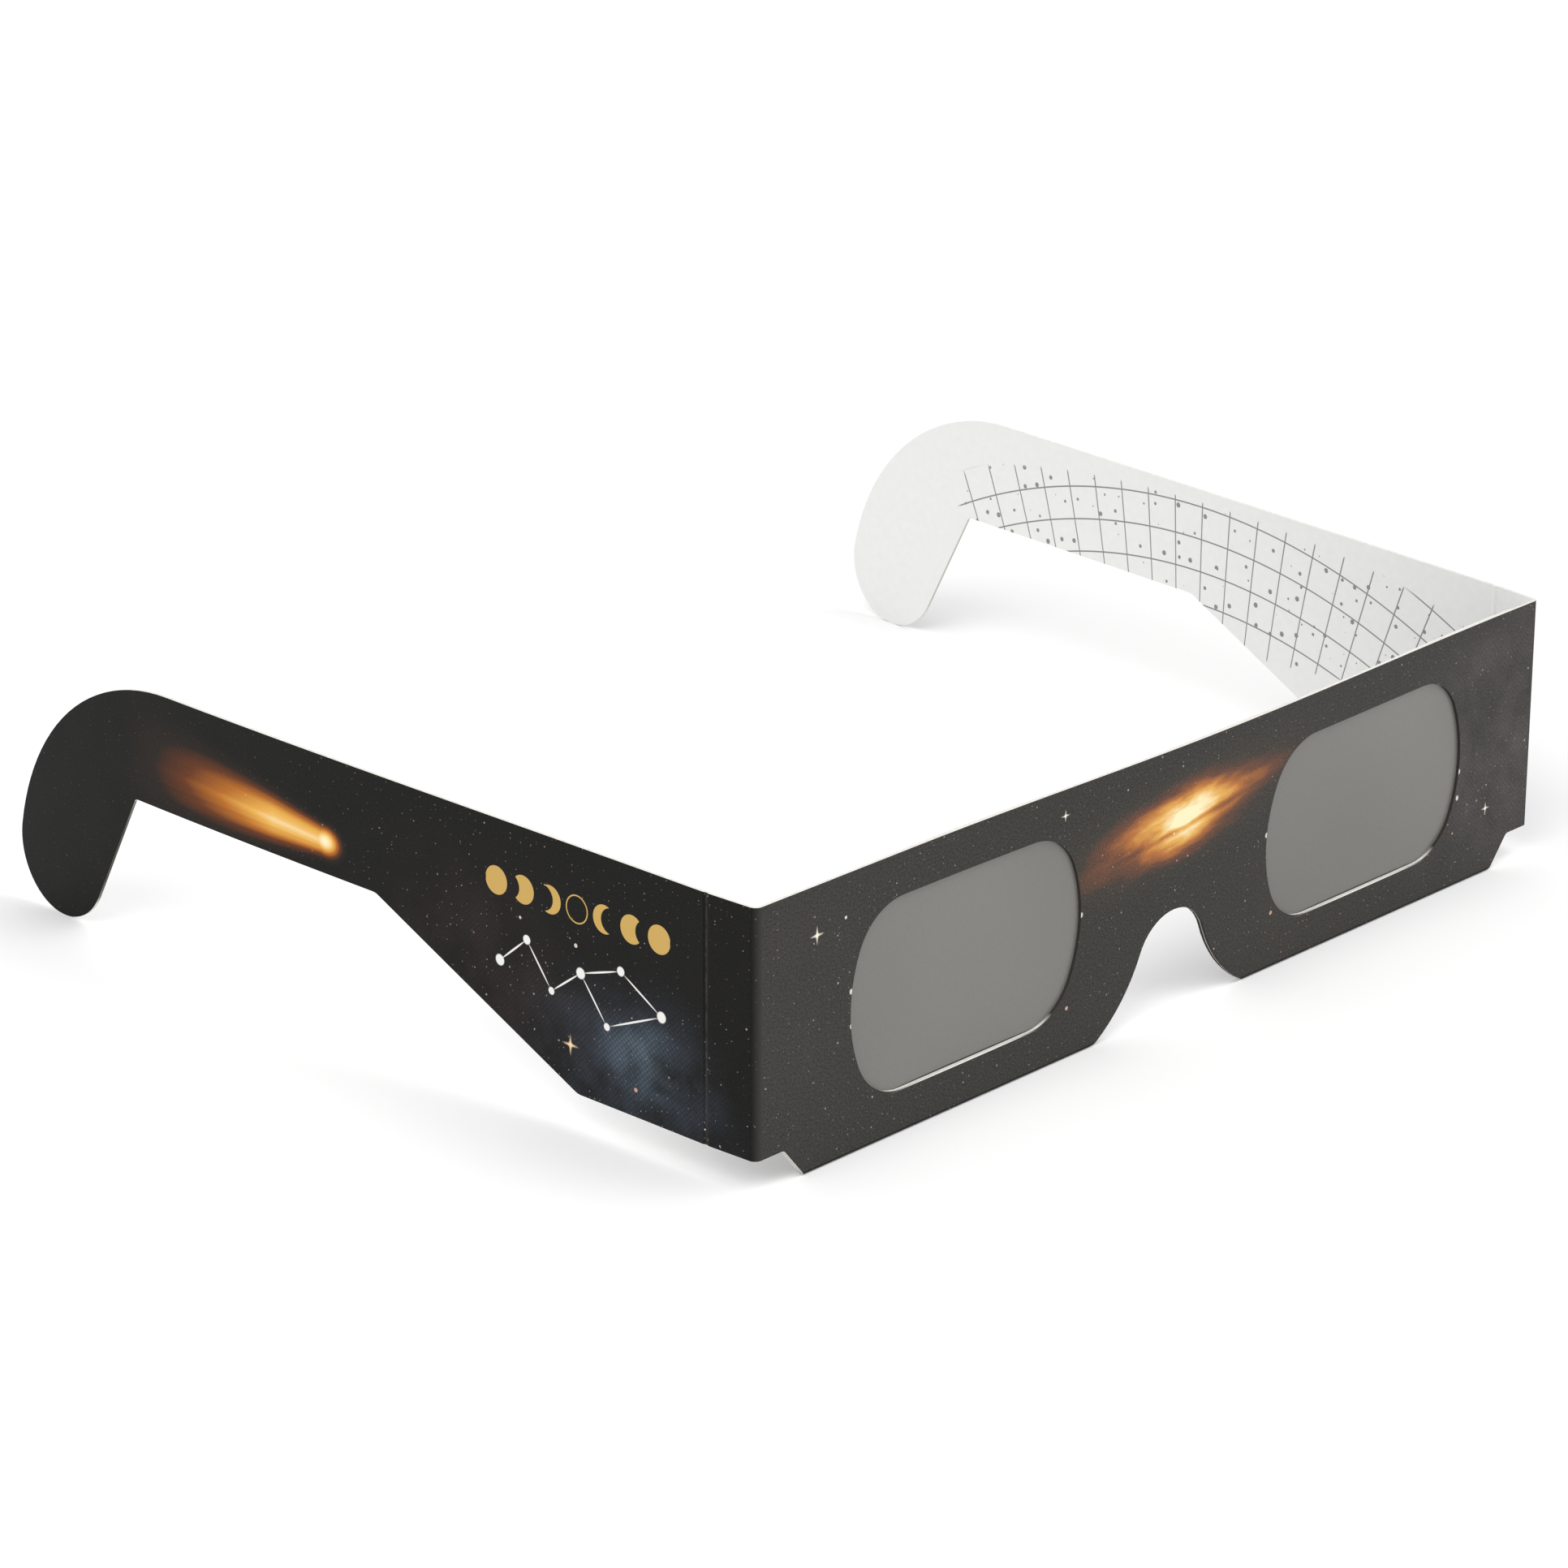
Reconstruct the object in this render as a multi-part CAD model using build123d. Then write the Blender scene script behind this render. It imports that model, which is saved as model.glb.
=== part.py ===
from build123d import *
import os
from math import acos, atan2, cos, hypot, radians, sin, sqrt

os.makedirs("parts", exist_ok=True)

# Folded card glasses with two dark viewing windows, in millimetres.
# One die-cut sheet of board makes the front, the flap behind it and both temples.
# The outer face of the front stands at y = 0, the temples run back along +Y,
# the glasses stand on z = 0, and x = 0 is the middle of the nose.
# Left and right are the wearer's own, so the left side lies at +x.

# Sheet stock
board_thickness = 0.4
film_thickness = 0.1

# Front, between the outsides of the two corner folds
front_width = 140.0
front_height = 33.4
corner_tab_width = 3.55
corner_cut_run = 3.35
corner_cut_height = 4.0
corner_cut_radius = 0.8

# Nose cut-out, a round top that flares into the bottom edge
nose_height = 13.1
nose_foot_half_width = 13.8
nose_top_radius = 6.2
nose_flare_radius = 18.5

# Viewing windows, flat at top and bottom with bowed sides. What the board keeps round them
# leaves openings of 38.3 by 23.0 at 71.6 between centres.
window_nose_margin = 2.85
window_end_margin = 14.1
window_bottom_margin = 5.3
window_top_margin = 5.1
window_side_radius = 17.5
window_corner_radius = 7.6

# Flap that is folded up behind the front
flap_end_inset = 3.5
flap_top_drop = 0.3
flap_corner_radius = 1.5
flap_window_clearance = 0.3

# Filter films, and the glue between their edges and the edges of the flap
film_side_margin = 2.4
film_bottom_seam = 2.3
film_top_seam = 1.8
glue_inset = 1.0

# Folds
corner_inner_radius = 0.55
left_splay_deg = 5.6
right_splay_deg = -0.8

# Second crease of each temple, a groove outside and a bead inside. Both creases of a temple
# bend in one proportion: the stiffer second one takes this share of the corner's bend.
score_bend_share = 0.03
score_distance = 7.2
score_width = 0.8
score_groove_depth = 0.12
score_bead_height = 0.15

# Temple, measured along the board from the corner fold, with its hook from its far end
temple_length = 124.4
temple_root_length = 26.9
temple_slope_length = 32.3
temple_neck_height = 14.35
temple_bend_radius = 2.0
hook_length = 23.0
hook_corner_radius = 0.7
hook_tip_radius = 8.0
hook_back_radius = 30.0

# Run past a face by which a cutting shape clears it
cut_overrun = 2.0

# Worked out from the sizes above
half_width = front_width / 2
corner_outer_radius = corner_inner_radius + board_thickness
panel_half_width = half_width - corner_outer_radius
flap_front_y = board_thickness + film_thickness
stack_thickness = flap_front_y + board_thickness
fold_outer_radius = stack_thickness / 2
fold_inner_radius = film_thickness / 2
flap_half_width = half_width - flap_end_inset
flap_top = front_height - flap_top_drop
corner_cut_half_width = panel_half_width - corner_tab_width
front_foot_half_width = corner_cut_half_width - corner_cut_run
window_inner_x = nose_foot_half_width + window_nose_margin
window_outer_x = panel_half_width - window_end_margin
window_width = window_outer_x - window_inner_x
window_height = front_height - window_top_margin - window_bottom_margin
window_centre_x = (window_outer_x + window_inner_x) / 2
window_centre_height = window_bottom_margin + window_height / 2
score_axis = (half_width - board_thickness / 2, score_distance)
right_angle_deg = 90


def arc_round(centre, start, end):
    """Arc under half a turn about a centre, from one point to another."""
    radius = hypot(start[0] - centre[0], start[1] - centre[1])
    middle_x = start[0] + end[0] - 2 * centre[0]
    middle_y = start[1] + end[1] - 2 * centre[1]
    reach = radius / hypot(middle_x, middle_y)
    middle = (centre[0] + middle_x * reach, centre[1] + middle_y * reach)
    return ThreePointArc(start, middle, end)


def chain(*points):
    """Straight edges from each point to the next."""
    return [Line(a, b) for a, b in zip(points, points[1:])]


def mirrored(point):
    return (-point[0], point[1])


def standing(outline, front_y, thickness):
    """Stand a flat outline up, x across and y upwards, and give it a thickness behind front_y."""
    return extrude(Plane.XZ.offset(-front_y) * outline, amount=-thickness)


def upright(plan, low, high):
    """Raise a plan outline from one height to another."""
    return extrude(Pos(0, 0, low) * plan, amount=high - low)


def corner_at(face, x, y):
    """The corner of a flat face that lies nearest to a point."""
    return min(face.vertices(), key=lambda v: hypot(v.X - x, v.Y - y))


def nose_outline():
    """The nose cut-out: a round top whose sides turn outwards to the bottom edge."""
    top_centre = (0, nose_height - nose_top_radius)
    foot = (nose_foot_half_width, 0)
    reach = nose_top_radius + nose_flare_radius
    span = hypot(foot[0] - top_centre[0], foot[1] - top_centre[1])
    spread = acos((reach**2 + span**2 - nose_flare_radius**2) / (2 * reach * span))
    bearing = atan2(foot[1] - top_centre[1], foot[0] - top_centre[0]) + spread
    flare_centre = (top_centre[0] + reach * cos(bearing), top_centre[1] + reach * sin(bearing))
    joint = (
        top_centre[0] + nose_top_radius * cos(bearing),
        top_centre[1] + nose_top_radius * sin(bearing),
    )
    below = (foot[0], -cut_overrun)
    crown = (0, nose_height)
    return make_face(
        [
            arc_round(flare_centre, foot, joint),
            ThreePointArc(joint, crown, mirrored(joint)),
            arc_round(mirrored(flare_centre), mirrored(joint), mirrored(foot)),
        ]
        + chain(mirrored(foot), mirrored(below), below, foot)
    )


def window_outline(margin):
    """One window about its own centre: flat top and bottom, four corners and two bowed sides."""
    half_w = window_width / 2 + margin
    half_h = window_height / 2 + margin
    side_radius = window_side_radius + margin
    corner_radius = window_corner_radius + margin
    side_centre = (half_w - side_radius, 0)
    rise = half_h - corner_radius
    run = sqrt((side_radius - corner_radius) ** 2 - rise**2)
    corner_centre = (side_centre[0] + run, rise)
    lean = atan2(rise, run)
    join = (side_centre[0] + side_radius * cos(lean), side_radius * sin(lean))
    top_end = (corner_centre[0], half_h)
    side = (half_w, 0)
    right_half = [
        arc_round(corner_centre, top_end, join),
        ThreePointArc(join, side, (join[0], -join[1])),
        arc_round((corner_centre[0], -rise), (join[0], -join[1]), (top_end[0], -half_h)),
    ]
    left_half = [
        arc_round((-corner_centre[0], -rise), (-top_end[0], -half_h), (-join[0], -join[1])),
        ThreePointArc((-join[0], -join[1]), (-half_w, 0), (-join[0], join[1])),
        arc_round((-corner_centre[0], rise), (-join[0], join[1]), (-top_end[0], half_h)),
    ]
    bottom = Line((top_end[0], -half_h), (-top_end[0], -half_h))
    top = Line((-top_end[0], half_h), top_end)
    return make_face(right_half + [bottom] + left_half + [top])


def windows(margin):
    centres = [(side * window_centre_x, window_centre_height) for side in (-1, 1)]
    return [Pos(x, z) * window_outline(margin) for x, z in centres]


def front_outline():
    """The front from fold line to top edge, with its cut corners and the nose cut-out."""
    right = [
        (front_foot_half_width, 0),
        (corner_cut_half_width, corner_cut_height),
        (panel_half_width, corner_cut_height),
        (panel_half_width, front_height),
    ]
    left = [mirrored(point) for point in reversed(right)]
    face = make_face(chain(*right, *left, right[0]))
    inner_corners = [corner_at(face, side * corner_cut_half_width, corner_cut_height) for side in (-1, 1)]
    return fillet(inner_corners, corner_cut_radius) - nose_outline()


def flap_outline():
    """The flap behind the front, which shares the fold line and the nose cut-out."""
    slope = corner_cut_height / corner_cut_run
    right = [
        (front_foot_half_width, 0),
        (flap_half_width, (flap_half_width - front_foot_half_width) * slope),
        (flap_half_width, flap_top),
    ]
    left = [mirrored(point) for point in reversed(right)]
    face = make_face(chain(*right, *left, right[0]))
    top_corners = [corner_at(face, side * flap_half_width, flap_top) for side in (-1, 1)]
    return fillet(top_corners, flap_corner_radius) - nose_outline()


def above_fold():
    """Everything that rises clear of the folded bottom edge."""
    height = front_height + cut_overrun
    rise = (fold_outer_radius + height) / 2
    return Pos(0, rise) * Rectangle(front_width, height - fold_outer_radius)


def make_front_panel():
    """The outer board of the front, with both windows cut through."""
    face = front_outline() & above_fold()
    for opening in windows(0):
        face -= opening
    return standing(face, 0, board_thickness)


def make_back_panel():
    """The flap that closes the envelope behind the films, with windows a little larger."""
    face = flap_outline() & above_fold()
    for opening in windows(flap_window_clearance):
        face -= opening
    return standing(face, flap_front_y, board_thickness)


def make_bottom_fold(side):
    """The bend that turns the sheet up behind the front, on one side of the nose."""
    centre = (fold_outer_radius, fold_outer_radius)
    outer = [(centre[0] + turn * fold_outer_radius, centre[1]) for turn in (-1, 1)]
    inner = [(centre[0] + turn * fold_inner_radius, centre[1]) for turn in (1, -1)]
    section = make_face(
        [
            ThreePointArc(outer[0], (centre[0], 0), outer[1]),
            Line(outer[1], inner[0]),
            ThreePointArc(inner[0], (centre[0], centre[1] - fold_inner_radius), inner[1]),
            Line(inner[1], outer[0]),
        ]
    )
    bend = extrude(Plane.YZ * section, amount=side * half_width)
    sheet = standing(flap_outline(), 0, stack_thickness)
    return bend & sheet


def film_outline(side):
    """One rectangle of film, wider than its window all round."""
    width = window_width + 2 * film_side_margin
    height = flap_top - film_top_seam - film_bottom_seam
    return Pos(side * window_centre_x, film_bottom_seam + height / 2) * Rectangle(width, height)


def make_film(side):
    return standing(film_outline(side), board_thickness, film_thickness)


def make_glue():
    """The glue that bonds flap to front, as thick as the film and all round both films."""
    face = offset(flap_outline(), amount=-glue_inset)
    for side in (-1, 1):
        face -= film_outline(side)
    return standing(face, board_thickness, film_thickness)


def corner_bend_deg(splay_deg):
    """How far the corner is folded from flat when the temple stands this much outside square."""
    return (right_angle_deg - splay_deg) / (1 + score_bend_share)


def on_side(shape, side, splay_deg):
    """Put a piece made square at the right corner on its side, turned about the corner fold."""
    axis = Axis((panel_half_width, corner_outer_radius, 0), (0, 0, 1))
    turned = shape.rotate(axis, corner_bend_deg(splay_deg) - right_angle_deg)
    return turned if side > 0 else mirror(turned, about=Plane.YZ)


def make_corner_crease(side, splay_deg):
    """The rounded bend between front and temple, a part of a ring about the fold's axis."""
    centre = (panel_half_width, corner_outer_radius)
    turn = radians(corner_bend_deg(splay_deg) - right_angle_deg)

    def at(radius, angle):
        return (centre[0] + radius * cos(angle), centre[1] + radius * sin(angle))

    front_side = -radians(right_angle_deg)
    plan = make_face(
        [
            arc_round(centre, at(corner_outer_radius, front_side), at(corner_outer_radius, turn)),
            Line(at(corner_outer_radius, turn), at(corner_inner_radius, turn)),
            arc_round(centre, at(corner_inner_radius, turn), at(corner_inner_radius, front_side)),
            Line(at(corner_inner_radius, front_side), at(corner_outer_radius, front_side)),
        ]
    )
    bend = upright(plan, corner_cut_height, front_height)
    return bend if side > 0 else mirror(bend, about=Plane.YZ)


def make_hinge_strip(side, splay_deg):
    """The short strip of board between the corner fold and the second crease."""
    start = corner_outer_radius
    end = score_distance - score_width / 2
    inner_x = half_width - board_thickness
    plan = make_face(
        chain(
            (inner_x, start),
            (half_width, start),
            (half_width, end),
            (inner_x, end),
            (inner_x, start),
        )
    )
    return on_side(upright(plan, corner_cut_height, front_height), side, splay_deg)


def score_bend_deg(splay_deg):
    return corner_bend_deg(splay_deg) * score_bend_share


def swung(point, splay_deg):
    """A plan point beyond the second crease, turned inwards about it."""
    turn = radians(score_bend_deg(splay_deg))
    x, y = point[0] - score_axis[0], point[1] - score_axis[1]
    return (score_axis[0] + x * cos(turn) - y * sin(turn), score_axis[1] + x * sin(turn) + y * cos(turn))


def make_width_score(side, splay_deg):
    """The second crease, pressed in from outside so that a bead stands inside."""
    start = score_distance - score_width / 2
    end = score_distance + score_width / 2
    inner_x = half_width - board_thickness
    outer_end = swung((half_width, end), splay_deg)
    inner_end = swung((inner_x, end), splay_deg)
    groove = (half_width - score_groove_depth, score_distance)
    bead = (inner_x - score_bead_height, score_distance)
    plan = make_face(
        [
            Line((inner_x, start), (half_width, start)),
            ThreePointArc((half_width, start), groove, outer_end),
            Line(outer_end, inner_end),
            ThreePointArc(inner_end, bead, (inner_x, start)),
        ]
    )
    return on_side(upright(plan, corner_cut_height, front_height), side, splay_deg)


def temple_outline():
    """The long part of a temple, seen from its side: deep root, slim neck and ear hook."""
    start = score_distance + score_width / 2
    neck_low = front_height - temple_neck_height
    tip_centre = (temple_length - hook_tip_radius, hook_tip_radius)
    back_low = front_height - hook_back_radius
    back_run = sqrt((hook_back_radius - hook_tip_radius) ** 2 - (tip_centre[1] - back_low) ** 2)
    back_centre = (tip_centre[0] - back_run, back_low)
    back_lean = atan2(tip_centre[1] - back_low, back_run)
    back_end = (
        back_centre[0] + hook_back_radius * cos(back_lean),
        back_centre[1] + hook_back_radius * sin(back_lean),
    )
    inner_corner = (temple_length - hook_length, neck_low)
    slope_end = (temple_root_length + temple_slope_length, neck_low)
    root_end = (temple_root_length, corner_cut_height)
    reach = hypot(tip_centre[0] - inner_corner[0], tip_centre[1] - inner_corner[1])
    bearing = atan2(inner_corner[1] - tip_centre[1], inner_corner[0] - tip_centre[0])
    touch_angle = bearing + acos(hook_tip_radius / reach)
    tip_start = (
        tip_centre[0] + hook_tip_radius * cos(touch_angle),
        tip_centre[1] + hook_tip_radius * sin(touch_angle),
    )
    edges = chain(
        inner_corner,
        slope_end,
        root_end,
        (start, corner_cut_height),
        (start, front_height),
        (back_centre[0], front_height),
    )
    face = make_face(
        edges
        + [
            arc_round(back_centre, (back_centre[0], front_height), back_end),
            arc_round(tip_centre, back_end, tip_start),
            Line(tip_start, inner_corner),
        ]
    )
    face = fillet(corner_at(face, *inner_corner), hook_corner_radius)
    face = fillet(corner_at(face, *slope_end), temple_bend_radius)
    return fillet(corner_at(face, *root_end), temple_bend_radius)


def make_temple(side, splay_deg):
    """The temple from the second crease to the tip of its hook."""
    flat = Plane.YZ.offset(half_width) * temple_outline()
    board = extrude(flat, amount=-board_thickness)
    bent = board.rotate(Axis((*score_axis, 0), (0, 0, 1)), score_bend_deg(splay_deg))
    return on_side(bent, side, splay_deg)


nodes = {
    "front_panel": make_front_panel(),
    "back_panel": make_back_panel(),
    "panel_glue": make_glue(),
}

temples = {"left": (1, left_splay_deg), "right": (-1, right_splay_deg)}
for name, (side, splay_deg) in temples.items():
    nodes["bottom_fold_" + name] = make_bottom_fold(side)
    nodes["filter_film_" + name] = make_film(side)
    nodes[name + "_corner_crease"] = make_corner_crease(side, splay_deg)
    nodes[name + "_hinge_strip"] = make_hinge_strip(side, splay_deg)
    nodes[name + "_width_score"] = make_width_score(side, splay_deg)
    nodes[name + "_temple"] = make_temple(side, splay_deg)

for name, shape in nodes.items():
    export_step(shape, f"parts/{name}.step")
    box = shape.bounding_box()
    print(name, [round(value, 2) for value in (*box.min, *box.max)], round(shape.volume, 3))
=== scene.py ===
import bpy
import math
from mathutils import Matrix, Vector


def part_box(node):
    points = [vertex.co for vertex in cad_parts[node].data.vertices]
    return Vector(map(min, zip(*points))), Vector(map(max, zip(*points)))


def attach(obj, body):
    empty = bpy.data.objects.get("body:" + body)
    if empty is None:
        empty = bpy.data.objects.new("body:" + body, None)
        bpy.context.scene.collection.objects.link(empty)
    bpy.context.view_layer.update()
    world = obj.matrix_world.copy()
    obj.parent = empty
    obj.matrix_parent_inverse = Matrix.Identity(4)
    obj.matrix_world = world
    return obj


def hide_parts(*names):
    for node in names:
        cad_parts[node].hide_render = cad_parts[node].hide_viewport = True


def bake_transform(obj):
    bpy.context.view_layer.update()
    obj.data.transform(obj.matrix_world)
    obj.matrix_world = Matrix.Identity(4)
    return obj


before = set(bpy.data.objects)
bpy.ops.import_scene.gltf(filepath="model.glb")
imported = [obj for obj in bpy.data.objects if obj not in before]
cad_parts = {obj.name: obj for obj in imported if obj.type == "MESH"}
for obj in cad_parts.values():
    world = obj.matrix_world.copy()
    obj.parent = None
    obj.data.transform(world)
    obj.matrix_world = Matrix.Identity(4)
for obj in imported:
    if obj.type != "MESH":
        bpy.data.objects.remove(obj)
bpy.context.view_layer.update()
MM = 0.001

# Front board
# The front is the middle of one die-cut sheet of solid bleached board, 0.4 mm thick, printed dark
# outside and left white inside. Glued up as an envelope it doesn't stay flat: its top edge bellies
# forward over the nose, so the board is copied from the frame, divided finely and bowed.
BOW_DEPTH = 1.3 * MM
BOW_CENTRE_X = 8 * MM
BOW_RIGHT_REACH = 53 * MM
BOW_LEFT_REACH = 61 * MM
BOW_RISE_POWER = 1.2
FOLD_TOP_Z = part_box("bottom_fold_left")[1].z
BOARD_TOP_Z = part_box("front_panel")[1].z
CUT_SPACING = 4 * MM
MERGE_DISTANCE = 0.002 * MM
FLAT_ANGLE = math.radians(0.5)
CREASE_ANGLE = math.radians(30)


def bow(x, z):
    """How far the glued panels stand forward of flat at a place on the front."""
    reach = BOW_RIGHT_REACH if x < BOW_CENTRE_X else BOW_LEFT_REACH
    across = min(abs(x - BOW_CENTRE_X) / reach, 1)
    up = max(z - FOLD_TOP_Z, 0) / (BOARD_TOP_Z - FOLD_TOP_Z)
    return BOW_DEPTH * math.cos(across * math.pi / 2) ** 2 * up ** BOW_RISE_POWER


def edit_only(piece):
    """Selects one piece alone, with all of its mesh, in edit mode."""
    bpy.ops.object.select_all(action="DESELECT")
    bpy.context.view_layer.objects.active = piece
    piece.select_set(True)
    bpy.ops.object.mode_set(mode="EDIT")
    bpy.ops.mesh.select_all(action="SELECT")


def fine_copy(node, name, axes):
    """A copy of a flat part of the sheet, cut across every few millimetres along these axes."""
    piece = bpy.data.objects.new(name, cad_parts[node].data.copy())
    bpy.context.scene.collection.objects.link(piece)
    low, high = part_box(node)
    edit_only(piece)
    bpy.ops.mesh.customdata_custom_splitnormals_clear()
    bpy.ops.mesh.remove_doubles(threshold=MERGE_DISTANCE)
    bpy.ops.mesh.dissolve_limited(angle_limit=FLAT_ANGLE)
    for axis in axes:
        normal = Vector([float(axis == i) for i in range(3)])
        for cut in range(math.ceil(low[axis] / CUT_SPACING), math.ceil(high[axis] / CUT_SPACING)):
            bpy.ops.mesh.select_all(action="SELECT")
            bpy.ops.mesh.bisect(plane_co=normal * cut * CUT_SPACING, plane_no=normal)
    bpy.ops.object.mode_set(mode="OBJECT")
    return piece


def bowed_copy(node, name, gap=None):
    """A copy of a flat part of the envelope, divided both ways and bowed like the front."""
    piece = fine_copy(node, name, (0, 2))
    for corner in piece.data.vertices:
        corner.co.y -= bow(corner.co.x, corner.co.z)
        if gap:
            corner.co.y += gap(corner.co.x, corner.co.z)
    bpy.ops.object.shade_smooth_by_angle(angle=CREASE_ANGLE)
    return piece


front_board = bowed_copy("front_panel", "front_board")
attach(front_board, "front")
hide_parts("front_panel")


def linear(code):
    """The linear colour of an sRGB hex value."""
    levels = [int(code[i:i + 2], 16) / 255 for i in (1, 3, 5)]
    return (*(v / 12.92 if v <= 0.04045 else ((v + 0.055) / 1.055) ** 2.4 for v in levels), 1)


def add(tree, kind, inputs=None, **settings):
    """Adds one node with its settings, and sets or links its sockets."""
    node = tree.nodes.new(kind)
    for name, value in settings.items():
        setattr(node, name, value)
    for socket, value in (inputs or {}).items():
        if isinstance(value, bpy.types.NodeSocket):
            tree.links.new(value, node.inputs[socket])
        else:
            node.inputs[socket].default_value = value
    return node


def spot(tree, sheet, centre, reach, turn=0.0, rim=0.0):
    """A round or oval spot on the sheet: 1 inside, falling to 0 from its rim share outwards."""
    place = add(tree, "ShaderNodeMapping",
                {"Vector": sheet, "Location": (*centre, 0), "Rotation": (0, 0, turn),
                 "Scale": (*reach, 1)}, vector_type="TEXTURE")
    away = add(tree, "ShaderNodeVectorMath", {0: place.outputs[0]}, operation="LENGTH")
    fall = add(tree, "ShaderNodeMapRange",
               {"Value": away.outputs["Value"], "From Min": rim, "From Max": 1.0, "To Min": 1.0,
                "To Max": 0.0}, interpolation_type="SMOOTHSTEP")
    return fall.outputs[0]


def scattered(tree, sheet, spacing, radius, share):
    """Scattered dots: about this share of the cells holds one, of up to this radius in mm. Gives
    the dots, and a lot between 0 and 1 for each of them."""
    cells = add(tree, "ShaderNodeTexVoronoi", {"Vector": sheet, "Scale": 1 / spacing},
                voronoi_dimensions="2D")
    lot = add(tree, "ShaderNodeSeparateColor", {0: cells.outputs["Color"]})
    size = add(tree, "ShaderNodeMapRange",
               {"Value": lot.outputs[0], "From Min": 1 - share, "From Max": 1.0, "To Min": 0.0,
                "To Max": radius / spacing})
    dot = add(tree, "ShaderNodeMath", {0: size.outputs[0], 1: cells.outputs["Distance"]},
              operation="GREATER_THAN")
    return dot.outputs[0], lot.outputs[1]


# Printed mid greys and colours are screened: dots 0.2 mm apart on the real board, drawn 0.5 mm
# apart here because finer ones don't show.
SCREEN_SPACING = 0.5
SCREEN_TURN = math.radians(45)
# How strongly the haze prints at the middle of a screen dot, and between the dots.
SCREEN_INK = (1.35, 0.75)
HAZE_CLOUD_SIZE = 9
# Ink lies on the board in specks of 0.05 mm, drawn 0.25 mm across for the same reason.
INK_SPECK_SIZE = 0.25
GROUND_INKS = ("#070605", "#12110F")
STAR_TINTS = ("#F4F1EA", "#C98A63")
# For each size of star: the spacing and largest radius in mm, the share of places that hold one,
# and how strongly it prints.
STAR_LAYERS = ((0.8, 0.08, 0.3, 0.3), (1.9, 0.13, 0.22, 0.38), (9.2, 0.26, 0.24, 0.85))


def night_sky(tree, sheet, hazes, inks=GROUND_INKS, plenty=1.0):
    """The printed ground: warm black inks with screened hazes and three sizes of star. Plenty is
    how strongly the stars print, from 0 to 1."""
    cloud = add(tree, "ShaderNodeTexNoise",
                {"Vector": sheet, "Scale": 1 / HAZE_CLOUD_SIZE, "Detail": 5.0, "Roughness": 0.62},
                noise_dimensions="2D")
    turned = add(tree, "ShaderNodeMapping", {"Vector": sheet, "Rotation": (0, 0, SCREEN_TURN)})
    screen = add(tree, "ShaderNodeTexVoronoi",
                 {"Vector": turned.outputs[0], "Scale": 1 / SCREEN_SPACING, "Randomness": 0.0},
                 voronoi_dimensions="2D")
    dots = add(tree, "ShaderNodeMapRange",
               {"Value": screen.outputs["Distance"], "From Min": 0.2, "From Max": 0.5,
                "To Min": SCREEN_INK[0], "To Max": SCREEN_INK[1]})
    drift = add(tree, "ShaderNodeMapRange",
                {"Value": cloud.outputs[0], "From Min": 0.3, "From Max": 0.72})
    drifting = add(tree, "ShaderNodeMath", {0: drift.outputs[0], 1: dots.outputs[0]},
                   operation="MULTIPLY")
    grain = add(tree, "ShaderNodeTexNoise",
                {"Vector": sheet, "Scale": 1 / INK_SPECK_SIZE, "Detail": 2.0},
                noise_dimensions="2D")
    speckle = add(tree, "ShaderNodeMapRange",
                  {"Value": grain.outputs[0], "From Min": 0.35, "From Max": 0.65})
    black = add(tree, "ShaderNodeMix",
                {0: speckle.outputs[0], 6: linear(inks[0]), 7: linear(inks[1])}, data_type="RGBA")
    colour = black.outputs[2]
    for centre, reach, code in hazes:
        share = add(tree, "ShaderNodeMath",
                    {0: spot(tree, sheet, centre, reach), 1: drifting.outputs[0]},
                    operation="MULTIPLY")
        colour = add(tree, "ShaderNodeMix", {0: share.outputs[0], 6: colour, 7: linear(code)},
                     data_type="RGBA", blend_type="ADD").outputs[2]
    for spacing, radius, share, strength in STAR_LAYERS:
        dot, lot = scattered(tree, sheet, spacing, radius, share)
        tint = add(tree, "ShaderNodeMix",
                   {0: lot, 6: linear(STAR_TINTS[0]), 7: linear(STAR_TINTS[1])}, data_type="RGBA")
        lit = add(tree, "ShaderNodeMath", {0: dot, 1: plenty}, operation="MULTIPLY")
        dim = add(tree, "ShaderNodeMath", {0: lit.outputs[0], 1: strength}, operation="MULTIPLY")
        colour = add(tree, "ShaderNodeMix", {0: dim.outputs[0], 6: colour, 7: tint.outputs[2]},
                     data_type="RGBA").outputs[2]
    return colour


SPARKLE_SLIM = 0.16
SPARKLE_CORE = 0.34
SPARKLE_WHITE = "#FFF6E6"


def sparkle(tree, sheet, colour, centre, size, code=SPARKLE_WHITE):
    """A bright star with four slim points and a round core, laid over a colour."""
    slim = size * SPARKLE_SLIM
    core = size * SPARKLE_CORE
    for reach in ((size, slim), (slim, size), (core, core)):
        share = spot(tree, sheet, centre, reach)
        colour = add(tree, "ShaderNodeMix", {0: share, 6: colour, 7: linear(code)},
                     data_type="RGBA").outputs[2]
    return colour


FIRE_INKS = ((0.0, "#000000"), (0.18, "#1C120A"), (0.36, "#623010"), (0.55, "#B5691C"),
             (0.75, "#E8AE4C"), (1.0, "#FFF2C2"))


def fire(tree, colour, heat):
    """Lays the golden inks over a colour, from red brown at little heat to pale yellow at most."""
    ramp = add(tree, "ShaderNodeValToRGB", {0: heat})
    while len(ramp.color_ramp.elements) < len(FIRE_INKS):
        ramp.color_ramp.elements.new(0.5)
    for element, (position, code) in zip(ramp.color_ramp.elements, FIRE_INKS):
        element.position = position
        element.color = linear(code)
    return add(tree, "ShaderNodeMix", {0: 1.0, 6: colour, 7: ramp.outputs[0]},
               data_type="RGBA", blend_type="SCREEN").outputs[2]


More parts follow.
